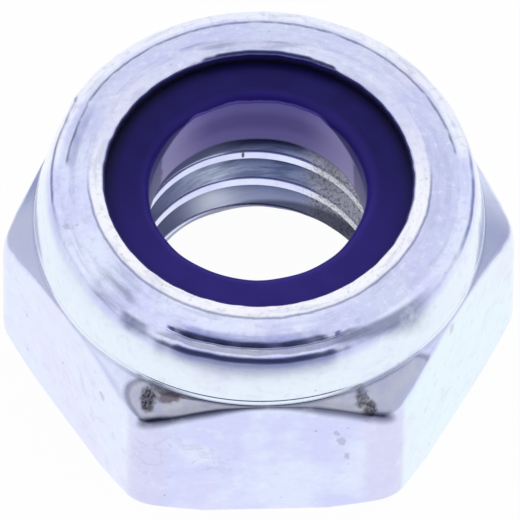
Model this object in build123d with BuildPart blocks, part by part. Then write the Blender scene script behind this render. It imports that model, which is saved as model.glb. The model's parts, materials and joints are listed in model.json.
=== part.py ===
"""Hexagon lock nut for an M6 thread: a cold-formed steel nut whose collar is rolled over a nylon ring.

Millimetres. The origin is the centre of the bearing face, and +Z runs along the thread to the nylon end.
Two opposite flats face -Y and +Y.
"""

import os
from math import cos, radians, sin, tan

from build123d import *

# Hexagon
across_flats = 9.8
hexagon_height = 3.95  # bearing face to the root of the collar
corner_radius = 0.7  # the upright edges, rounded where the steel didn't fill the die
bearing_corner_cut = 0.63  # what the lower chamfer takes off a sharp corner, at the bearing face
bearing_chamfer_angle = 30  # up from the bearing face
shoulder_chamfer_angle = 45  # down from the root of the collar, over the upper corners

# Thread hole, drawn at the tips of the thread
thread_minor_diameter = 5.15
countersink_diameter = 6.75
countersink_angle = 90  # included angle
thread_end_chamfer = 0.15  # breaks the last turn, under the ring

# Collar, above the hexagon
collar_height = 1.65
collar_inset = 0.02  # its root stands just inside the flats
collar_land_height = 0.14  # upright strip at the root
collar_step = 0.025  # the wall starts this far inside the strip
root_wall = 0.87  # steel beside the ring at the root
shoulder_wall = 0.67  # steel beside the ring at the shoulder, where the wall is drawn thinner
shoulder_radius = 0.22
shoulder_drop = 0.267  # from the top of the lip to the shoulder
shoulder_land_width = 0.07  # level strip between the groove and the shoulder's arc
wall_lean = 16  # off upright, just under the shoulder; the wall straightens towards its root

# Groove that the edge of the rolling tool left inside the shoulder
groove_width = 0.06
groove_depth = 0.055

# Lip, rolled inward over the ring
lip_overhang = 0.65  # beyond the wall of the ring's seat
lip_bead_radius = 0.15  # the turned-up edge
lip_bead_width = 0.35  # from the opening to the crease where the bead meets the rolled face
lip_bead_slope = 28  # down from level, the outside of the bead
rolled_face_width = 0.35  # from the crease to where the face turns down into the groove
rolled_face_slope = 12  # down from level
lip_edge_thickness = 0.38  # from the top of the bead to the ring
lip_slope_angle = 20  # down from level, the underside of the lip

# Nylon ring
ring_hole_diameter = 4.8  # less than the thread's tips, so that the screw has to cut its way in
ring_height = 1.6
ring_clearance = 0.01  # between the ring and the wall of its seat
ring_rim_radius = 0.25  # the rounded upper edge of the hole
ring_foot_chamfer = 0.06

nut_height = hexagon_height + collar_height
flat_radius = across_flats / 2
sharp_corner_radius = flat_radius / cos(radians(30))
root_radius = flat_radius - collar_inset
seat_radius = root_radius - root_wall
lip_radius = seat_radius - lip_overhang
lip_underside = nut_height - lip_edge_thickness
seat_height = lip_underside - ring_height

minor_radius = thread_minor_diameter / 2
countersink_radius = countersink_diameter / 2
countersink_depth = (countersink_radius - minor_radius) / tan(radians(countersink_angle / 2))


def under_lip(radius):
    """Height of the lip's underside, which is also the height of the ring's sloped shoulder."""
    return lip_underside - (radius - lip_radius) * tan(radians(lip_slope_angle))


with BuildPart() as nut_body:
    with BuildSketch() as hexagon:
        RegularPolygon(radius=flat_radius, side_count=6, major_radius=False)
        fillet(hexagon.vertices(), radius=corner_radius)
    extrude(amount=hexagon_height)

    # Both chamfers of the corners come from one turned outline
    bearing_rise = bearing_corner_cut * tan(radians(bearing_chamfer_angle))
    shoulder_fall = (sharp_corner_radius - root_radius) * tan(radians(shoulder_chamfer_angle))
    with BuildSketch(Plane.XZ):
        with BuildLine():
            Polyline(
                (0, 0),
                (sharp_corner_radius - bearing_corner_cut, 0),
                (sharp_corner_radius, bearing_rise),
                (sharp_corner_radius, hexagon_height - shoulder_fall),
                (root_radius, hexagon_height),
                (0, hexagon_height),
                close=True,
            )
        make_face()
    revolve(axis=Axis.Z, mode=Mode.INTERSECT)

    # Collar, from the bead over the rolled face, the groove and the shoulder to the root
    bead_height = nut_height - lip_bead_radius
    bead_centre = (lip_radius + lip_bead_radius, bead_height)
    bead_end_radius = bead_centre[0] + lip_bead_radius * sin(radians(lip_bead_slope))
    bead_end_height = bead_centre[1] + lip_bead_radius * cos(radians(lip_bead_slope))
    crease_radius = lip_radius + lip_bead_width
    crease_height = bead_end_height - (crease_radius - bead_end_radius) * tan(radians(lip_bead_slope))
    face_edge_radius = crease_radius + rolled_face_width
    face_edge_height = crease_height - rolled_face_width * tan(radians(rolled_face_slope))
    shoulder_height = nut_height - shoulder_drop
    shoulder_start = seat_radius + shoulder_wall - shoulder_radius
    groove_edge_radius = shoulder_start - shoulder_land_width
    land_height = hexagon_height + collar_land_height
    with BuildSketch(Plane.XZ):
        with BuildLine():
            bead = CenterArc(bead_centre, lip_bead_radius, 90 - lip_bead_slope, 90 + lip_bead_slope)
            rolled_face = Polyline(
                bead @ 0, (crease_radius, crease_height), (face_edge_radius, face_edge_height)
            )
            groove_bottom = (groove_edge_radius - groove_width, shoulder_height - groove_depth)
            TangentArc(rolled_face @ 1, groove_bottom, tangent=rolled_face % 1)
            strip = Polyline(
                groove_bottom, (groove_edge_radius, shoulder_height), (shoulder_start, shoulder_height)
            )
            shoulder = JernArc(strip @ 1, (1, 0), shoulder_radius, wall_lean - 90)
            foot = (root_radius - collar_step, land_height + collar_step)
            wall = TangentArc(shoulder @ 1, foot, tangent=shoulder % 1)
            Polyline(
                wall @ 1,
                (root_radius, land_height),
                (root_radius, hexagon_height),
                (0, hexagon_height),
                (0, bead_height),
                bead @ 1,
            )
        make_face()
    revolve(axis=Axis.Z)

    # Countersink, thread hole, seat of the ring and opening of the lip
    with BuildSketch(Plane.XZ):
        with BuildLine():
            Polyline(
                (0, 0),
                (countersink_radius, 0),
                (minor_radius, countersink_depth),
                (minor_radius, seat_height - thread_end_chamfer),
                (minor_radius + thread_end_chamfer, seat_height),
                (seat_radius, seat_height),
                (seat_radius, under_lip(seat_radius)),
                (lip_radius, lip_underside),
                (lip_radius, nut_height),
                (0, nut_height),
                close=True,
            )
        make_face()
    revolve(axis=Axis.Z, mode=Mode.SUBTRACT)

with BuildPart() as nylon_ring:
    ring_hole_radius = ring_hole_diameter / 2
    ring_radius = seat_radius - ring_clearance
    # A narrower ring has a smaller round, and keeps some flat beside it
    rim_radius = min(ring_rim_radius, (lip_radius - ring_hole_radius) / 2)
    with BuildSketch(Plane.XZ) as ring_section:
        with BuildLine():
            Polyline(
                (ring_hole_radius, seat_height + ring_foot_chamfer),
                (ring_hole_radius + ring_foot_chamfer, seat_height),
                (ring_radius, seat_height),
                (ring_radius, under_lip(ring_radius)),
                (lip_radius, lip_underside),
                (ring_hole_radius, lip_underside),
                close=True,
            )
        make_face()
        rim = ring_section.vertices().group_by(Axis.X)[0].sort_by(Axis.Y)[-1]
        fillet(rim, radius=rim_radius)
    revolve(axis=Axis.Z)

nut_body.part.label = "nut_body"
nylon_ring.part.label = "nylon_ring"

os.makedirs("parts", exist_ok=True)
export_step(nut_body.part, "parts/nut_body.step")
export_step(nylon_ring.part, "parts/nylon_ring.step")
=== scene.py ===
"""The look of a zinc plated M6 lock nut with a blue nylon ring, on a white light table under a soft tent.

Lengths are in millimetres until a mesh is made, and angles are in degrees. Angles round the nut run
anticlockwise from +X, seen from above.
"""
import json
from math import ceil, cos, hypot, pi, radians, sin, sqrt, tan

import bmesh
import bpy
import numpy as np
from mathutils import Matrix, Vector


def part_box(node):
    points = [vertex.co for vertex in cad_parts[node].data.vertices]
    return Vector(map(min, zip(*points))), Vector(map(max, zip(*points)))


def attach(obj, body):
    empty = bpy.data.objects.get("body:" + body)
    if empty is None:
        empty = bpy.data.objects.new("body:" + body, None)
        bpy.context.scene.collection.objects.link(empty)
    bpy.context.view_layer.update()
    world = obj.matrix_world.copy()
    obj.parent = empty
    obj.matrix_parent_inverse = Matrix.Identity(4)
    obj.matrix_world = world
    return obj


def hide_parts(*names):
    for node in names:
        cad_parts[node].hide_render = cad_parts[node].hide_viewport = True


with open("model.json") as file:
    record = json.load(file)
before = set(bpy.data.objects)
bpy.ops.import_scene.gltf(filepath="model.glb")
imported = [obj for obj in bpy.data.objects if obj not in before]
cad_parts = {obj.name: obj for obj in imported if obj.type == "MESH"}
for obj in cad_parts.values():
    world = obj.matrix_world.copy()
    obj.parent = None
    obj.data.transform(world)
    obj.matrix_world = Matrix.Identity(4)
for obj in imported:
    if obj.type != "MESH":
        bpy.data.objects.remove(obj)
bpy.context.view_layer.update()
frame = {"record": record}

MM = 0.001

# Sizes that the frame gives
body_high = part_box("nut_body")[1]
ring_low, ring_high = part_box("nylon_ring")
mount_radius = {mount["name"]: mount["dims"].get("r_mm") for mount in frame["record"]["mounts"]}
nut_height = body_high.z / MM
flat_radius = body_high.y / MM
seat_height = ring_low.z / MM
lip_underside = ring_high.z / MM
ring_radius = ring_high.x / MM
tip_radius = mount_radius["thread_hole"]
ring_hole_radius = mount_radius["locking_hole"]

# Hexagon
hexagon_height = 3.95
corner_radius = 0.7
bearing_corner_cut = 0.63
bearing_chamfer = 30
shoulder_chamfer = 42
countersink_radius = 3.375
edge_break = 0.06  # the least chamfer, where a turned face only just meets a flat
flat_crown = 0.22  # how far down a flat its upper edge is rounded
corner_crown = 0.65  # and down a corner
chamfer_crown = 0.08  # how far up the chamfer, at the front
side_chamfer_crown = 0.22  # and elsewhere
corner_zone = (5.3, 5.5)  # radii between which a flat's upper edge turns into a corner's
edge_round = 0.05

# Collar and rolled lip
collar_inset = 0.02
land_height = 0.14
wall_step = 0.014
shoulder_wall = 0.67
shoulder_radius = 0.22
shoulder_drop = 0.267
shoulder_land_width = 0.07
wall_lean = 16
groove_width = 0.085
groove_depth = 0.08
lip_overhang = 0.65
bead_radius = 0.15  # inside the bead's top
bead_crown = 0.45  # radius outside it, down to the crease
bead_slope = 26
face_width = 0.353
face_slope = 18
roll_width = 0.16  # from the face to the brink of the groove
roll_slope = 30
roll_offset = 0.09  # how far the collar was rolled off centre
tool_jump = 0.025  # how far the tool jumped inward on the left
back_groove_share = 0.28  # the groove's depth round the back, beside the front's
lip_slope = 20
lip_lead = 0.035  # half of how far the lip's edge was rolled further in, at the back on the right
ring_clearance = 0.01

# M6 thread, right-hand
pitch = 1.0
thread_root_radius = 3.0
tip_width = 0.27
flank_angle = 30
tip_height = 1.75  # a tip's height at the back of the hole, at +Y
tip_round = 0.05
thread_end_chamfer = 0.15

# Nylon ring
rim_radius = 0.25
hole_offset = 0.05  # half of how far the wall of its hole stands further in on the right
foot_chamfer = 0.06

# Stretches round the nut, as the angles at which each starts, is full, starts to end and ends
front_groove = (238, 243, 290, 295)
back_groove = (14, 30, 170, 173)
drawn_inward = (135, 185, 205, 245)
jumped_inward = (148, 149.5, 156, 168)
front_chamfer = (242, 250, 290, 298)

columns = 540  # of points round the nut
weld_distance = 1e-7  # metres

root_radius = flat_radius - collar_inset
sharp_corner_radius = flat_radius / cos(radians(30))
bearing_radius = sharp_corner_radius - bearing_corner_cut
seat_radius = ring_radius + ring_clearance
lip_radius = seat_radius - lip_overhang
land_top = hexagon_height + land_height


# Outlines

def arc(centre, radius, start, end, steps):
    """Points of an outline along an arc."""
    angles = [radians(start + (end - start) * step / steps) for step in range(steps + 1)]
    return [(centre[0] + radius * cos(a), centre[1] + radius * sin(a)) for a in angles]


def tangent_arc(start, slope, end, steps):
    """Points along the arc that leaves start at a slope and reaches end."""
    chord = (end[0] - start[0], end[1] - start[1])
    heading = (cos(radians(slope)), sin(radians(slope)))
    across = heading[0] * chord[1] - heading[1] * chord[0]
    radius = (chord[0] ** 2 + chord[1] ** 2) / (2 * across)
    centre = (start[0] - heading[1] * radius, start[1] + heading[0] * radius)
    turn = 2 * np.arctan2(across, heading[0] * chord[0] + heading[1] * chord[1])
    arm = (start[0] - centre[0], start[1] - centre[1])
    points = []
    for step in range(steps + 1):
        t = turn * step / steps
        along = centre[0] + arm[0] * cos(t) - arm[1] * sin(t)
        up = centre[1] + arm[0] * sin(t) + arm[1] * cos(t)
        points.append((along, up))
    return points


def rounded(before, corner, after, leg_in, leg_out, steps=4):
    """A round at one corner, a leg long on each side. Where two corners are close, they share the room."""
    ends = []
    for other, leg in ((before, leg_in), (after, leg_out)):
        run = (other[0] - corner[0], other[1] - corner[1])
        length = max(hypot(*run), 1e-9)
        share = min(leg, 0.45 * length) / length
        ends.append((corner[0] + run[0] * share, corner[1] + run[1] * share))
    points = []
    for step in range(steps + 1):
        t = step / steps
        pulls = (((1 - t) ** 2, ends[0]), (2 * t * (1 - t), corner), (t * t, ends[1]))
        points.append(tuple(sum(pull * place[k] for pull, place in pulls) for k in (0, 1)))
    return points


def soften(points, leg, steps=4):
    """Rounds the inner corners of an open outline."""
    result = [points[0]]
    for before, corner, after in zip(points, points[1:], points[2:]):
        result += rounded(before, corner, after, leg, leg, steps)
    return result + [points[-1]]


def hexagon_reach(angle):
    """Distance from the axis to the hexagon with its rounded corners. A corner lies at 0 degrees."""
    from_flat = abs((angle % 60) - 30)
    if flat_radius * tan(radians(from_flat)) <= (flat_radius - corner_radius) * tan(radians(30)):
        return flat_radius / cos(radians(from_flat))
    centre = (flat_radius - corner_radius) / cos(radians(30))
    from_corner = radians(30 - from_flat)
    return centre * cos(from_corner) + sqrt(corner_radius ** 2 - (centre * sin(from_corner)) ** 2)


def waver(angle, cycles):
    """A slow irregular wave round the nut, from about -1 to 1, that closes on itself."""
    a = radians(angle)
    waves = sin(cycles * a + 1.3) + 0.7 * sin((cycles + 4) * a + 2.9) + 0.5 * sin((2 * cycles + 1) * a + 0.4)
    return waves / 1.9


def ease(value, start, end):
    """Rises smoothly from 0 to 1 between start and end."""
    t = min(max((value - start) / (end - start), 0), 1)
    return t * t * (3 - 2 * t)


def within(angle, start, full, waning, end):
    """1 in a stretch round the nut, 0 outside it, and smooth at its ends."""
    return ease(angle, start, full) * ease(-angle, -end, -waning)


def groove_strength(angle):
    """The rolling tool cut its groove deep at the front, lightly round the back and not at the sides."""
    return max(within(angle, *front_groove), back_groove_share * within(angle, *back_groove))


def inward_shift(angle):
    """On the left the groove and the shoulder lie further in, with a small step where the tool jumped."""
    drift = within(angle, *drawn_inward)
    step = within(angle, *jumped_inward)
    return roll_offset * drift + tool_jump * step + 0.006 * waver(angle, 11)


def rolled_lip(angle):
    """The collar's outline, from its wall over the shoulder, the groove, the rolled face and the bead to the seat."""
    shift = inward_shift(angle)
    depth = groove_depth * groove_strength(angle) * (1 + 0.06 * waver(angle, 23))
    opening = lip_radius - lip_lead * (1 + cos(radians(angle - 45))) + 0.007 * waver(angle, 31)
    shoulder_height = nut_height - shoulder_drop + 0.005 * waver(angle, 37)
    shoulder_start = seat_radius + shoulder_wall - shoulder_radius - shift + 0.006 * waver(angle, 29)
    round_radius = shoulder_radius - 0.6 * shift
    lean = wall_lean + 100 * max(shift, 0)
    shoulder = arc((shoulder_start, shoulder_height - round_radius), round_radius, lean, 90, 12)
    foot = (root_radius - wall_step, land_top + wall_step)
    wall = tangent_arc(shoulder[0], lean - 90, foot, 8)[::-1]
    groove_edge = (shoulder_start - shoulder_land_width, shoulder_height)
    groove_bottom = (groove_edge[0] - groove_width, shoulder_height - depth)
    bead = arc((opening + bead_radius, nut_height - bead_radius), bead_radius, 90, 180, 10)
    crown = arc((opening + bead_radius, nut_height - bead_crown), bead_crown, 90 - bead_slope, 90, 6)
    crease = crown[0]
    face_edge = (crease[0] + face_width - shift, crease[1] - (face_width - shift) * tan(radians(face_slope)))
    brink = (face_edge[0] + roll_width, face_edge[1] - roll_width * tan(radians(roll_slope)))
    lip_fall = (seat_radius - opening) * tan(radians(lip_slope))
    under_lip = [(opening, lip_underside), (seat_radius, lip_underside - lip_fall), (seat_radius, seat_height)]

    # Each corner is given with the legs of its round, in millimetres, and the round's steps
    return (
        wall[1:-1] + shoulder[:-1]
        + rounded(shoulder[-2], groove_edge, groove_bottom, 0.03, 0.02, 3)
        + rounded(groove_edge, groove_bottom, brink, 0.02, 0.02, 3)
        + rounded(groove_bottom, brink, face_edge, 0.03, 0.05, 4)
        + rounded(brink, face_edge, crease, 0.05, 0.08, 4)
        + rounded(face_edge, crease, crown[1], 0.04, 0.02, 3)
        + crown[1:-1] + bead + under_lip
    )


def outside(angle):
    """The nut's outline at an angle, from the countersink over the flat and the collar to the ring's seat."""
    reach = hexagon_reach(angle)
    bearing = min(reach - edge_break, bearing_radius)
    lower = (reach - bearing) * tan(radians(bearing_chamfer))
    upper = hexagon_height - (reach - root_radius) * tan(radians(shoulder_chamfer))
    crown = side_chamfer_crown + (chamfer_crown - side_chamfer_crown) * within(angle, *front_chamfer)
    down = flat_crown + (corner_crown - flat_crown) * ease(reach, *corner_zone)
    lip = rolled_lip(angle)
    inner, bearing_edge, flat_low, flat_high, root, land, step = (
        (countersink_radius, 0), (bearing, 0), (reach, lower), (reach, upper),
        (root_radius, hexagon_height), (root_radius, land_top), (root_radius - wall_step, land_top + wall_step),
    )
    return (
        [inner]
        + rounded(inner, bearing_edge, flat_low, edge_round, edge_round, 3)
        + rounded(bearing_edge, flat_low, flat_high, edge_round, 3 * edge_round, 5)
        + rounded(flat_low, flat_high, root, down, crown, 8)
        + rounded(flat_high, root, land, 0.02, 0.02, 2)
        + rounded(root, land, step, 0.02, 0.01, 2)
        + rounded(land, step, lip[0], 0.01, 0.05, 3)
        + lip
    )


def thread_outline():
    """One pitch of the thread as (distance along the axis, radius), from a tip's middle to the next one's."""
    depth = thread_root_radius - tip_radius
    flank = depth * tan(radians(flank_angle))
    half = tip_width / 2
    return soften([
        (0, tip_radius), (half, tip_radius), (half + flank, thread_root_radius),
        (pitch - half - flank, thread_root_radius), (pitch - half, tip_radius), (pitch, tip_radius),
    ], tip_round, 3)


def thread_hole():
    """Rows of (radius, height) up each column, which hold the thread, with the countersink below and the seat
    above, and how many rows a pitch has."""
    outline = thread_outline()
    along = np.array([point[0] for point in outline])
    radius = np.array([point[1] for point in outline])
    rows = len(outline) - 1
    turns = ceil(seat_height / pitch) + 3
    grid = []
    for column in range(columns):
        angle = 360 * column / columns
        base = tip_height + pitch * (angle - 90) / 360 - pitch * ceil(tip_height / pitch + 1)
        line = []
        for row in range(rows * turns + 1):
            height = min(max(base + pitch * (row // rows) + along[row % rows], 0), seat_height)
            threaded = np.interp((height - base) % pitch, along, radius)
            end_chamfer = tip_radius + thread_end_chamfer - (seat_height - height)
            line.append((max(threaded, countersink_radius - height, end_chamfer), height))
        grid.append(line)
    return grid, rows


# Meshes

def point_at(radius, height, angle):
    """A place on the nut in metres, as Blender takes it."""
    return (MM * radius * cos(radians(angle)), MM * radius * sin(radians(angle)), MM * height)


def mesh_object(name, vertices, faces):
    """A closed mesh from rows of points, with the points that coincide made one."""
    mesh = bpy.data.meshes.new(name)
    mesh.from_pydata(vertices, [], faces)
    form = bmesh.new()
    form.from_mesh(mesh)
    bmesh.ops.remove_doubles(form, verts=form.verts, dist=weld_distance)
    form.to_mesh(mesh)
    form.free()
    piece = bpy.data.objects.new(name, mesh)
    bpy.context.scene.collection.objects.link(piece)
    shade = piece.modifiers.new("flat faces keep their shade", "WEIGHTED_NORMAL")
    shade.weight = 60
    for polygon in mesh.polygons:
        polygon.use_smooth = True
    return piece


def turned(lines):
    """The points of outlines that are spread evenly round the axis."""
    return [point_at(r, z, 360 * c / columns) for c, line in enumerate(lines) for r, z in line]


def join_columns(lines, shift=0, start=0, closed=False):
    """Quads between neighbouring columns. The seam joins a row to the one that is shift rows higher."""
    rows = len(lines[0])
    faces = []
    for column in range(len(lines)):
        seam = column + 1 == len(lines)
        after = 0 if seam else column + 1
        step = shift if seam else 0
        for row in range(rows if closed else rows - 1):
            above = (row + 1) % rows
            quad = [
                column * rows + row, after * rows + min(row + step, rows - 1),
                after * rows + min(above + step, rows - 1), column * rows + above,
            ]
            faces.append([start + corner for corner in quad])
    return faces


def make_nut():
    """The nut's outside, from the countersink up to the ring's seat, and its threaded hole."""
    hole, rows = thread_hole()
    lines = [outside(360 * column / columns) + [hole[column][-1]] for column in range(columns)]
    vertices = turned(lines)
    faces = join_columns(lines)
    faces += [face[::-1] for face in join_columns(hole, shift=rows, start=len(vertices))]
    return mesh_object("steel_nut", vertices + turned(hole), faces)


def make_ring():
    """The moulded ring. The rim of its hole waves a little, where the steel was rolled down on the nylon."""
    lip_fall = (seat_radius - lip_radius) * tan(radians(lip_slope))
    lines = []
    for column in range(columns):
        angle = 360 * column / columns
        rim = rim_radius + 0.03 * waver(angle, 7)
        hole = ring_hole_radius - hole_offset * (1 + cos(radians(angle))) + 0.012 * waver(angle, 5)
        outline = soften([
            (hole, seat_height + foot_chamfer + 0.3),
            (hole, seat_height + foot_chamfer), (hole + foot_chamfer, seat_height),
            (ring_radius, seat_height), (ring_radius, lip_underside - lip_fall),
            (lip_radius, lip_underside), (hole + rim, lip_underside),
        ], 0.03, 2)
        outline += arc((hole + rim, lip_underside - rim), rim, 90, 180, 12)
        lines.append(outline)
    return mesh_object("nylon_insert", turned(lines), join_columns(lines, closed=True))


# Materials

def linear(code):
    """Turns an sRGB hex colour to the linear values that a shader takes."""
    channels = [int(code[k:k + 2], 16) / 255 for k in (1, 3, 5)]
    return tuple(c / 12.92 if c <= 0.04045 else ((c + 0.055) / 1.055) ** 2.4 for c in channels) + (1.0,)


def new_material(name):
    """A material with Blender's standard shader, its node tree and that shader."""
    material = bpy.data.materials.new(name)
    material.use_nodes = True
    return material, material.node_tree, material.node_tree.nodes["Principled BSDF"]


def add(tree, kind, inputs, out=0, **properties):
    """Adds a node. Each input takes a value or the output that feeds it. Returns one output of the node."""
    node = tree.nodes.new("ShaderNode" + kind)
    for key, value in properties.items():
        setattr(node, key, value)
    for key, value in inputs.items():
        if isinstance(value, bpy.types.NodeSocket):
            tree.links.new(value, node.inputs[key])
        else:
            node.inputs[key].default_value = value
    return node.outputs[out]


def place_on_nut(tree):
    """The place in millimetres: the point, how far right, back and up it is, its distance from the axis and its
    direction from it."""
    point = add(tree, "VectorMath", {0: add(tree, "TexCoord", {}, out=3), 3: 1 / MM}, operation="SCALE")
    right, back, height = add(tree, "SeparateXYZ", {0: point}).node.outputs
    level = add(tree, "VectorMath", {0: point, 1: (1, 1, 0)}, operation="MULTIPLY")
    radius = add(tree, "VectorMath", {0: level}, out=1, operation="LENGTH")
    direction = add(tree, "VectorMath", {0: level}, operation="NORMALIZE")
    return point, right, back, height, radius, direction


def mask(tree, *parts):
    """The product of masks, shares and smooth steps. A step is (value, start, end), which goes from 0 to 1 between
    start and end, or (value, start, end, low, high)."""
    product = None
    for part in parts:
        if isinstance(part, tuple):
            part = add(tree, "MapRange", dict(enumerate(part)), interpolation_type="SMOOTHSTEP")
        product = part if product is None else add(tree, "Math", {0: product, 1: part}, operation="MULTIPLY")
    return product


def either(tree, *choices):
    """The largest of several masks. One that is a list is the product of its parts."""
    largest = None
    for choice in choices:
        choice = mask(tree, *choice) if isinstance(choice, list) else choice
        largest = choice if largest is None else add(tree, "Math", {0: largest, 1: choice}, operation="MAXIMUM")
    return largest


def coats(tree, colour, *layers):
    """Paints coats over a colour, one after the other. A coat is a mask, or a list of its parts, and a colour."""
    colour = linear(colour) if isinstance(colour, str) else colour
    for parts, paint in layers:
        share = mask(tree, *(parts if isinstance(parts, list) else [parts]))
        paint = linear(paint) if isinstance(paint, str) else paint
        colour = add(tree, "Mix", {0: share, 6: colour, 7: paint}, out=2, data_type="RGBA")
    return colour


def band(tree, value, middle, half, soft):
    """A mask that is 1 where a value is within half of the middle, and soft beyond."""
    away = add(tree, "Math", {0: value, 1: middle}, operation="SUBTRACT")
    away = add(tree, "Math", {0: away}, operation="ABSOLUTE")
    return mask(tree, (away, half + soft, half))


def smear(tree, point, centre, size):
    """A mask that is 1 in an oval round a place on the nut and fades out over its border."""
    away = add(tree, "VectorMath", {0: point, 1: centre}, operation="SUBTRACT")
    away = add(tree, "VectorMath", {0: away, 1: tuple(1 / s for s in size)}, operation="MULTIPLY")
    away = add(tree, "VectorMath", {0: away}, out=1, operation="LENGTH")
    return mask(tree, (away, 1.5, 0.7))


def streaks(tree, direction, radius, height, length, width):
    """Noise that is drawn out round the nut, as a rolling or turning tool leaves it."""
    across = add(tree, "Math", {0: radius, 1: height}, operation="SUBTRACT")
    across = add(tree, "Math", {0: across, 1: 1 / width}, operation="MULTIPLY")
    up = add(tree, "CombineXYZ", {2: across})
    scale = (streak_radius / length, streak_radius / length, 0)
    vector = add(tree, "VectorMath", {0: direction, 1: scale, 2: up}, operation="MULTIPLY_ADD")
    return add(tree, "TexNoise", {"Vector": vector, "Scale": 1.0, "Detail": 3.0, "Roughness": 0.6})


def pits(tree, point, spacing, widest):
    """Small round pits: a random cell in some has one, each of its own size."""
    cells = add(tree, "TexVoronoi", {"Vector": point, "Scale": 1 / spacing}).node.outputs
    chance = add(tree, "SeparateColor", {0: cells["Color"]})
    size = mask(tree, (chance, 0.7, 1.0, 0.0, widest / spacing))
    depth = add(tree, "Math", {0: size, 1: cells["Distance"]}, operation="SUBTRACT")
    return mask(tree, (depth, 0.0, 0.05))


# Where the finish changes on the nut
throat_radius = 3.2  # the hole inside it, the collar's face outside
face_height = 5.15  # the collar's wall below it, the rolled face above
streak_radius = 4.2  # on the rolled face, where a streak has its length
groove_radius = seat_radius + shoulder_wall - shoulder_radius - shoulder_land_width - groove_width
crease_radius = lip_radius + 0.35  # between the bead and the rolled face
outer_face_radius = 4.36  # the outer part of the rolled face lies beyond it
pocket_reach = 0.76  # the cosine, from straight ahead, at which the front chamfers' matt pockets end

# Places and radii of small dark marks on the nut
small_marks = [
    ((1.5, -4.9, 2.87), 0.05), ((1.62, -4.9, 2.57), 0.08), ((1.76, -4.9, 2.0), 0.06), ((-3.5, -3.73, 2.77), 0.08),
    ((4.07, -2.75, 3.64), 0.1), ((-4.22, -1.03, 5.33), 0.08), ((-3.03, -1.98, 5.5), 0.06),
]


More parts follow.
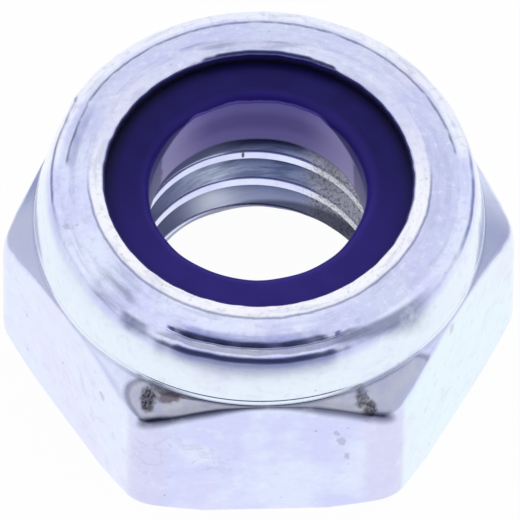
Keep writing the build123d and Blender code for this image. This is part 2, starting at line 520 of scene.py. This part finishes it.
def zinc_plated_steel():
    """Bright zinc with a blue-white passivation film. Its tint drifts between lavender and cyan with the film's
    thickness. Pressed and rolled faces are glossy, the turned front pockets are matt, and dirt and painted shade
    sit in the creases."""
    material, tree, shader = new_material("bright zinc plating, blue passivated")
    point, right, back, height, radius, direction = place_on_nut(tree)
    leftward = add(tree, "SeparateXYZ", {0: direction}, out=0)
    side = add(tree, "Math", {0: right}, operation="ABSOLUTE")

    # How far a place lies above the cone of the shoulder chamfer
    slope = (sin(radians(shoulder_chamfer)), cos(radians(shoulder_chamfer)))
    root = slope[0] * root_radius + slope[1] * hexagon_height
    cone = add(tree, "Math", {0: radius, 1: slope[0], 2: -root}, operation="MULTIPLY_ADD")
    cone = add(tree, "Math", {0: height, 1: slope[1], 2: cone}, operation="MULTIPLY_ADD")

    # Patterns. Each scale is one over the size of a patch in millimetres
    drift = add(tree, "TexNoise", {"Vector": point, "Scale": 1 / 1.3, "Detail": 3.0, "Roughness": 0.5})
    patch = add(tree, "TexNoise", {"Vector": point, "Scale": 1 / 2.2, "Detail": 4.0, "Roughness": 0.55})
    cloud = add(tree, "TexNoise", {"Vector": point, "Scale": 1 / 0.4, "Detail": 5.0, "Roughness": 0.6})
    mottle = add(tree, "TexNoise", {"Vector": point, "Scale": 1 / 0.17, "Detail": 4.0, "Roughness": 0.6})
    grit = add(tree, "TexNoise", {"Vector": point, "Scale": 1 / 0.06, "Detail": 3.0, "Roughness": 0.6})
    rolling = streaks(tree, direction, radius, height, 1.2, 0.2)
    lapping = streaks(tree, direction, 0.0, height, 1.2, 0.05)
    pitting = pits(tree, point, 0.36, 0.05)
    specks = pits(tree, point, 1.0, 0.1)

    # Places and radii that waver, for dark patches, dirt and painted shade with uneven edges
    jitter = add(tree, "TexNoise", {"Vector": point, "Scale": 1 / 0.15, "Detail": 3.0}, out=1)
    jitter = add(tree, "VectorMath", {0: jitter, 1: (0.5, 0.5, 0.5)}, operation="SUBTRACT")
    torn = add(tree, "VectorMath", {0: jitter, 1: (0.2, 0.2, 0.2), 2: point}, operation="MULTIPLY_ADD")
    worn = add(tree, "Math", {0: cloud, 1: 0.08, 2: radius}, operation="MULTIPLY_ADD")
    worn = add(tree, "Math", {0: worn, 1: 0.04}, operation="SUBTRACT")

    # Where the surface is
    in_hole = mask(tree, (radius, throat_radius, throat_radius - 0.1))
    on_collar = mask(
        tree, (height, hexagon_height, hexagon_height + 0.05), (radius, throat_radius, throat_radius + 0.1),
    )
    on_face = mask(tree, on_collar, (height, face_height, face_height + 0.1))
    on_bead = mask(tree, (radius, crease_radius - 0.01, crease_radius - 0.07))
    below_root = mask(tree, (height, hexagon_height + 0.02, hexagon_height - 0.01))
    on_chamfer = mask(
        tree, band(tree, cone, 0.0, 0.02, 0.03), below_root, (radius, root_radius, root_radius + 0.03),
    )
    on_flats = mask(tree, (cone, -0.03, -0.1), (radius, 4.7, 4.8))
    on_corners = mask(tree, on_flats, (radius, 5.3, 5.42), (side, 3.04, 2.9))
    on_front = mask(tree, (back, -4.7, -4.82))

    # The front chamfers are matt. The tool's mark ends in a rounded outline beyond each front corner
    depth = add(tree, "Math", {0: radius, 1: root_radius + 0.25}, operation="SUBTRACT")
    forward = add(tree, "VectorMath", {0: direction, 1: (0.08, -1.0, 0.0)}, out=1, operation="DOT_PRODUCT")
    depth = add(tree, "Math", {0: depth, 1: depth}, operation="MULTIPLY")
    forward = add(tree, "Math", {0: depth, 1: -0.5, 2: forward}, operation="MULTIPLY_ADD")
    pocket = mask(tree, on_chamfer, (forward, pocket_reach, pocket_reach + 0.01))
    tool_edge = mask(tree, on_chamfer, band(tree, forward, pocket_reach + 0.008, 0.004, 0.014))
    at_side = mask(tree, on_chamfer, (side, 4.0, 4.6), (right, -4.0, 4.0, 0.6, 0.3), (back, 1.4, 0.2))

    # The film's tint: on the flats, the collar's wall, the outer part of its face at the back, painted shade on the
    # inner part at the back and right, the bead and the corners, and then its clouds, mottling and rolling marks
    film = coats(tree, "#d3d8fd", ((drift, 0.38, 0.62), "#dfe7ff"))
    flats = coats(
        tree, "#e8e6ff",
        ((patch, 0.4, 0.58), "#e4f3ff"),
        ((right, -2.6, -3.4, 0.0, 0.6), "#e2e6ff"),
        ((right, 2.6, 3.4, 0.0, 0.7), "#e6fcff"),
    )
    # Painted shade: the inner part of the rolled face is darker at the back and on the right
    painted_shade = either(tree, [(back, 0.0, 1.5)], [(right, 1.2, 2.6)])
    mottled = either(tree, on_face, 0.25)
    film = coats(
        tree, film,
        ([on_flats, (side, 2.7, 2.95), 0.85], flats),
        ([on_collar, (height, 5.2, 4.9), 0.9], "#eaf5ff"),
        ([on_collar, (back, 0.3, 0.9), (radius, outer_face_radius, 4.42), 0.7], "#f4f7ff"),
        ([painted_shade, on_face, (radius, outer_face_radius, 4.3), 0.42], "#b6bce4"),
        ([on_face, on_bead, (back, 2.0, -1.0, 0.2, 1.0)], "#f6f7ff"),
        ([on_corners, 0.75], "#d6d6f5"),
        ((cloud, 0.52, 0.75, 0.0, 0.35), "#cccdf2"),
        ((cloud, 0.45, 0.25, 0.0, 0.4), "#f0f6ff"),
        ([(patch, 0.45, 0.3), 0.35], "#e6dff6"),
        ([mottled, (mottle, 0.5, 0.72, 0.0, 0.45)], "#bfc3dd"),
        ([mottled, (mottle, 0.46, 0.28, 0.0, 0.45)], "#eff0ff"),
        ([on_face, (rolling, 0.48, 0.75, 0.0, 0.4)], "#a9b0d0"),
    )

    # Thread: the tips are burnished, the flanks keep a grey, streaky plating, lighter low down with painted light
    # from the table and darker at the top with painted shade under the ring, grit clings to it on the right, the last
    # turn is dark, and one tip has a nick
    threaded = mask(tree, in_hole, (radius, tip_radius + 0.02, tip_radius + 0.05))
    flank = coats(
        tree, "#9ba8c6",
        ((lapping, 0.38, 0.62), "#cfdaf0"),
        # Painted light from the table below, on the lower flanks
        ((height, 1.9, 1.5, 0.0, 0.8), "#eaf2ff"),
        ((right, -0.8, -1.8, 0.0, 0.75), "#7680a6"),
        # Painted shade under the nylon ring, on the top flanks
        ((height, 2.85, 3.0, 0.0, 0.9), "#4b4e74"),
    )
    uneven_right = add(tree, "Math", {0: cloud, 1: 1.2, 2: right}, operation="MULTIPLY_ADD")
    gritty = mask(tree, in_hole, (uneven_right, 1.5, 2.1))
    nick = smear(tree, point, (-0.26, 2.56, 2.79), (0.03, 0.1, 0.09))
    plating = coats(
        tree, film,
        (threaded, flank),
        ([gritty, 0.85], "#ececf0"),
        ([gritty, (grit, 0.55, 0.35, 0.0, 0.7)], "#7c7a84"),
        ([in_hole, (height, 0.96, 0.9, 0.0, 0.75)], "#4d5067"),
        ([in_hole, nick, 0.9], "#2b3145"),
    )

    # Chamfers: matt and greyer
    chamfer = coats(tree, "#e2e5ff", ((cloud, 0.4, 0.65), "#f2f4ff"), ((right, 2.1, 2.5, 0.0, 0.4), "#c6cff0"))
    plating = coats(tree, plating, (pocket, chamfer), ([tool_edge, 0.5], "#858aa8"), (at_side, "#d3d8ee"))

    # Dirt and painted shade in the groove and on the strip beside it. At the left of the back the groove lies further
    # in
    in_front_groove = mask(tree, (back, -3.78, -3.95))
    groove = mask(tree, band(tree, worn, groove_radius, 0.02, 0.04), in_front_groove, 0.5)
    strip = mask(tree, band(tree, worn, groove_radius + 0.15, 0.05, 0.04), in_front_groove, 0.45)
    drawn_in = mask(tree, (leftward, -0.75, -0.99, 0.0, 0.07))
    jumped_in = mask(tree, (leftward, -0.852, -0.866, 0.0, 0.025))
    inward = add(tree, "Math", {0: drawn_in, 1: jumped_in}, operation="ADD")
    inward = add(tree, "Math", {0: worn, 1: inward}, operation="ADD")
    back_line = mask(
        tree, band(tree, inward, groove_radius, 0.01, 0.035), (back, 0.6, 0.75), (cloud, 0.3, 0.6, 0.25, 0.6),
    )

    # Dirt and painted shade beside the bead, at the collar's root, and under the chamfers' edge at the front
    crease = mask(tree, band(tree, worn, crease_radius, 0.006, 0.035), (back, 0.6, -0.6), 0.5)
    at_root = mask(
        tree, band(tree, height, hexagon_height, 0.02, 0.05), (radius, root_radius + 0.1, root_radius + 0.03),
        (back, -3.6, -4.2, 0.1, 0.4),
    )
    fade = mask(tree, (side, 0.2, 1.4, -0.14, -0.27))
    fade = add(tree, "Math", {0: cone, 1: fade}, operation="DIVIDE")
    at_edge = mask(
        tree, (fade, 1.0, 0.1), (cloud, 0.2, 0.5, 0.75, 1.0), (right, 0.5, -0.3, 0.85, 1.0),
        (cone, 0.01, -0.03), below_root, on_front,
    )
    dirt_and_painted_shade = either(tree, [either(tree, groove, strip, back_line, crease), on_face], at_root, at_edge)

    # Dark patches in the front pockets, a brown one and black ones, and painted shade in a dark line along the
    # collar's foot on the left
    line_width = mask(tree, (right, -2.6, -1.1, 0.14, 0.02))
    under_collar = add(tree, "Math", {0: radius, 1: root_radius}, operation="SUBTRACT")
    under_collar = add(tree, "Math", {0: under_collar, 1: line_width}, operation="DIVIDE")
    # Painted shade along the collar's foot on the left
    foot_shade = mask(
        tree, (under_collar, 1.2, 0.7), pocket, (right, -0.9, -1.2), (right, -2.55, -2.45), (back, -3.5, -4.0),
        (cloud, 0.3, 0.5, 0.5, 1.0), 0.75,
    )
    brown = smear(tree, torn, (-2.1, -4.52, 3.85), (0.28, 0.13, 0.13))
    black_patches_and_foot_shade = either(
        tree, smear(tree, torn, (-2.54, -4.48, 3.7), (0.15, 0.25, 0.25)),
        [smear(tree, torn, (2.06, -4.62, 3.78), (0.14, 0.2, 0.2)), 0.85],
        [smear(tree, torn, (2.24, -4.78, 3.6), (0.14, 0.16, 0.18)), 0.95], foot_shade,
    )

    # Grey smears on the rolled face, at the ends of the groove, on its left and at the back of the lip
    outward = add(tree, "Math", {0: right, 1: -0.13, 2: radius}, operation="MULTIPLY_ADD")
    at_groove_ends = either(
        tree, [band(tree, radius, 4.55, 0.05, 0.1), band(tree, right, -2.82, 0.15, 0.25), 0.9],
        [band(tree, outward, 4.21, 0.07, 0.13), (right, 1.3, 1.7), (right, 3.7, 3.1), 0.8],
    )
    faint = either(
        tree, smear(tree, point, (-3.23, -2.75, 5.4), (0.45, 0.5, 0.4)),
        smear(tree, point, (-0.3, 3.52, 5.58), (1.2, 0.14, 0.2)),
    )
    smears = either(
        tree, [at_groove_ends, (back, -2.6, -3.0), (cloud, 0.25, 0.6, 0.5, 1.0)],
        [faint, on_face, (rolling, 0.35, 0.65, 0.1, 0.5)],
    )

    # Pits and specks, and marks of handling on the front flat's left half and the left flat
    handled = either(
        tree, smear(tree, torn, (-1.9, -4.9, 2.0), (1.1, 0.5, 0.9)),
        [smear(tree, torn, (-3.6, -3.2, 2.0), (0.9, 1.2, 1.2)), 0.5],
    )
    outlines = mask(tree, band(tree, patch, 0.5, 0.003, 0.015), handled, 0.16)
    scuffs = mask(tree, handled, (cloud, 0.54, 0.68), (grit, 0.45, 0.65), 0.4)
    small = [
        ([smear(tree, torn, place, (size, size, 1.6 * size)), 0.4], "#8f8ba8") for place, size in small_marks
    ]
    colour = coats(
        tree, plating,
        # Dirt and painted shade in the creases, at the collar's root and under the front chamfers' edge
        (dirt_and_painted_shade, "#383b58"),
        ([brown, pocket, 0.8], "#7a6476"),
        ([black_patches_and_foot_shade, (grit, 0.3, 0.65, 0.6, 1.0)], "#1c1a26"),
        (smears, "#747c9b"),
        ([pitting, either(tree, on_flats, [on_collar, 0.6]), 0.5], "#9496ae"),
        ([specks, either(tree, on_flats, [on_collar, 0.3]), 0.6], "#8d8798"),
        *small,
        ([on_flats, either(tree, outlines, scuffs)], "#aaa0b0"),
    )

    dull = either(tree, [pocket, 0.95], at_side)
    matt = either(tree, dull, [threaded, 0.4], [gritty, 0.8], [cloud, 0.2])
    relief = mask(tree, rolling, on_face, 0.6)
    relief = add(tree, "Math", {0: cloud, 1: 0.35, 2: relief}, operation="MULTIPLY_ADD")
    surface = {
        "Base Color": colour,
        "Metallic": add(tree, "Math", {0: 1.0, 1: dull}, operation="SUBTRACT"),
        "Roughness": mask(tree, (matt, 0.0, 1.0, 0.16, 0.6)),
        "Normal": add(tree, "Bump", {"Height": relief, "Strength": 0.4, "Distance": 0.014 * MM}),
    }
    for name, output in surface.items():
        tree.links.new(output, shader.inputs[name])
    return material


def blue_nylon():
    """Injection moulded polyamide. The light that comes through it is painted: the wall of the hole is painted mauve
    and its rim a little lighter, and painted shade makes it darker at the back and darkest against the steel."""
    material, tree, shader = new_material("polyamide 66, dyed dark blue")
    point, right, _, height, radius, direction = place_on_nut(tree)
    side = add(tree, "Math", {0: right}, operation="ABSOLUTE")
    backward = add(tree, "SeparateXYZ", {0: direction}, out=1)
    cloud = add(tree, "TexNoise", {"Vector": point, "Scale": 1 / 0.6, "Detail": 3.0})
    fine = add(tree, "TexNoise", {"Vector": point, "Scale": 1 / 0.12, "Detail": 2.0})

    # The wall's mauve is painted light that comes through the nylon. It reaches lower at the sides, and its upper
    # edge is a thin ragged flash line
    wall_top = lip_underside - 0.17
    edge = add(tree, "Math", {0: cloud, 1: 0.12, 2: height}, operation="MULTIPLY_ADD")
    drop = mask(tree, (side, 1.3, 2.35, -0.06, 0.45))
    edge = add(tree, "Math", {0: edge, 1: drop}, operation="ADD")
    on_wall = mask(
        tree, (radius, ring_hole_radius + 0.12, ring_hole_radius + 0.06), (edge, wall_top + 0.02, wall_top - 0.03),
    )
    flash = mask(
        tree, band(tree, edge, wall_top + 0.03, 0.012, 0.025),
        (radius, ring_hole_radius + 0.22, ring_hole_radius + 0.16), (cloud, 0.35, 0.55, 0.3, 0.8),
    )
    uneven_side = add(tree, "Math", {0: cloud, 1: 0.3, 2: side}, operation="MULTIPLY_ADD")
    # Painted light on the wall of the hole: lighter at the sides, darker in a band and near its foot
    wall = coats(
        tree, "#9387d0",
        (band(tree, height, 4.4, 0.1, 0.35), "#7c6fbb"),
        ((side, 0.9, 1.9, 0.0, 0.8), "#c3baef"),
        ((uneven_side, 2.2, 2.27, 0.0, 0.85), "#625f96"),
        ((height, seat_height + 0.14, seat_height + 0.08, 0.0, 0.6), "#3d3486"),
    )
    colour = coats(
        tree, "#31257c",
        # Painted shade: the nylon is darker towards the back
        ((backward, -1.0, 0.4), "#1d165c"),
        ((cloud, 0.4, 0.65, 0.0, 0.35), "#251c6e"),
        # Painted light: a little lighter near the rim of the hole
        ((radius, 2.65, 2.43, 0.0, 0.4), "#3a2c92"),
        # Painted shadow under the steel lip, at the back
        ([(radius, 3.0, 3.35), (backward, -0.5, 0.6, 0.2, 0.85)], "#0b0920"),
        (on_wall, wall),
        (flash, "#7a6ccb"),
    )
    tree.links.new(colour, shader.inputs["Base Color"])
    shader.inputs["Roughness"].default_value = 0.3
    shader.inputs["IOR"].default_value = 1.53
    shader.inputs["Specular IOR Level"].default_value = 0.08
    relief = add(tree, "Math", {0: fine, 1: 0.3, 2: cloud}, operation="MULTIPLY_ADD")
    bump = add(tree, "Bump", {"Height": relief, "Strength": 0.3, "Distance": 0.03 * MM})
    tree.links.new(bump, shader.inputs["Normal"])
    return material


# Stage

table_radius = 13
table_steps = 96


def make_table():
    """A round opal light table, little more than twice as wide as the nut, so that the dark room beyond its edge
    shows in the steel's shoulder. The camera sees it white, with the nut's shadow."""
    rim = [point_at(table_radius, 0, 360 * step / table_steps) for step in range(table_steps)]
    mesh = bpy.data.meshes.new("light_table")
    mesh.from_pydata(rim, [], [list(range(table_steps))])
    table = bpy.data.objects.new("light_table", mesh)
    bpy.context.scene.collection.objects.link(table)
    material, tree, shader = new_material("opal acrylic, lit from below")
    tree.nodes.remove(shader)
    path = add(tree, "LightPath", {}).node.outputs
    lit = either(tree, 0.5, path["Is Glossy Ray"], [path["Is Camera Ray"], 0.97])
    opal = add(tree, "BsdfDiffuse", {"Color": linear("#f6f6f6")})
    glow = add(tree, "Emission", {"Color": linear("#ffffff"), "Strength": 1.0})
    mix = add(tree, "MixShader", {0: lit, 1: opal, 2: glow})
    tree.links.new(mix, tree.nodes["Material Output"].inputs["Surface"])
    mesh.materials.append(material)


# Colours by their height above the horizon: the dark room through the tent's opening, and below the tent's hem
room_colours = [
    (-34, "#ffffff"), (-22, "#8d92ad"), (-8, "#5a5e7c"), (8, "#3a3e58"), (42, "#3a3e58"), (50, "#5c6284"),
    (60, "#a9aece"), (69, "#e6e8f6"), (80, "#ffffff"),
]
hem_colours = [
    (-32, "#ffffff"), (-16, "#b4b8cc"), (-5, "#9a9fb8"), (7, "#9a9fb8"), (18, "#d0d3e2"), (30, "#ffffff"),
]
opening_turn = 8  # how far the tent's opening is turned from straight ahead, to its left


def light_tent():
    """A white tent over the table. It is open at the front, where the dark room behind the camera shows in the
    steel. Below its hem the room shows as a grey band, which is full behind the nut on either side, faint from
    there to the front and missing at the back."""
    world = bpy.data.worlds.new("light tent")
    bpy.context.scene.world = world
    world.use_nodes = True
    tree = world.node_tree
    tree.nodes.remove(tree.nodes["Background"])
    right, back, up = add(tree, "SeparateXYZ", {0: add(tree, "TexCoord", {})}).node.outputs
    forward = add(tree, "Math", {0: back, 1: -1.0}, operation="MULTIPLY")
    side = add(tree, "Math", {0: right, 1: forward}, operation="ARCTAN2")
    side = add(tree, "Math", {0: side, 1: radians(opening_turn)}, operation="ADD")
    side = add(tree, "Math", {0: side}, operation="ABSOLUTE")
    rise = add(tree, "Math", {0: up}, operation="ARCSINE")
    rise = add(tree, "Math", {0: rise, 1: 1 / pi, 2: 0.5}, operation="MULTIPLY_ADD")

    seen = []
    for colours in (room_colours, hem_colours):
        ramp = add(tree, "ValToRGB", {0: rise}).node
        stops = ramp.color_ramp.elements
        while len(stops) < len(colours):
            stops.new(0.5)
        for stop, (elevation, code) in zip(stops, colours):
            stop.position = elevation / 180 + 0.5
            stop.color = linear(code)
        seen.append(ramp.outputs[0])
    room, hem = seen

    at_back = mask(tree, (side, radians(130), radians(148)))
    at_front = mask(tree, (side, radians(116), radians(102), 0.0, 0.75))
    colour = coats(
        tree, hem,
        (either(tree, at_back, at_front), "#ffffff"),
        ((side, radians(45), radians(38)), room),
        (add(tree, "LightPath", {}).node.outputs["Is Camera Ray"], "#ffffff"),
    )
    glow = add(tree, "Background", {"Color": colour, "Strength": 1.0})
    tree.links.new(glow, tree.nodes["World Output"].inputs["Surface"])


# Camera: a long lens well above the nut, turned a little to its left and not quite level
view_height = 54.9
view_turn = -2.6
view_roll = 0.87
view_distance = 450
picture_width = 11.275  # of what the picture takes in at the nut
aim_height = 2.94
aim_right = 0.025
aim_up = -0.28


def make_camera():
    turn, height, roll = radians(view_turn), radians(view_height), radians(view_roll)
    right = Vector((cos(turn), sin(turn), 0))
    forward = Vector((-sin(turn) * cos(height), cos(turn) * cos(height), -sin(height)))
    up = right.cross(forward)
    picture_right = right * cos(roll) + up * sin(roll)
    picture_up = up * cos(roll) - right * sin(roll)
    aim = Vector((0, 0, aim_height)) + picture_right * aim_right + picture_up * aim_up
    data = bpy.data.cameras.new("camera")
    data.sensor_width = 36
    data.lens = data.sensor_width * view_distance / picture_width
    camera = bpy.data.objects.new("camera", data)
    bpy.context.scene.collection.objects.link(camera)
    place = Matrix((picture_right, picture_up, -forward)).transposed().to_4x4()
    place.translation = (aim - forward * view_distance) * MM
    camera.matrix_world = place
    bpy.context.scene.camera = camera


nut = make_nut()
nut.data.materials.append(zinc_plated_steel())
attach(nut, "root")
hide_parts("nut_body")

ring = make_ring()
ring.data.materials.append(blue_nylon())
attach(ring, "root")
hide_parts("nylon_ring")

make_table()
light_tent()
make_camera()
bpy.context.scene.view_settings.view_transform = "Standard"
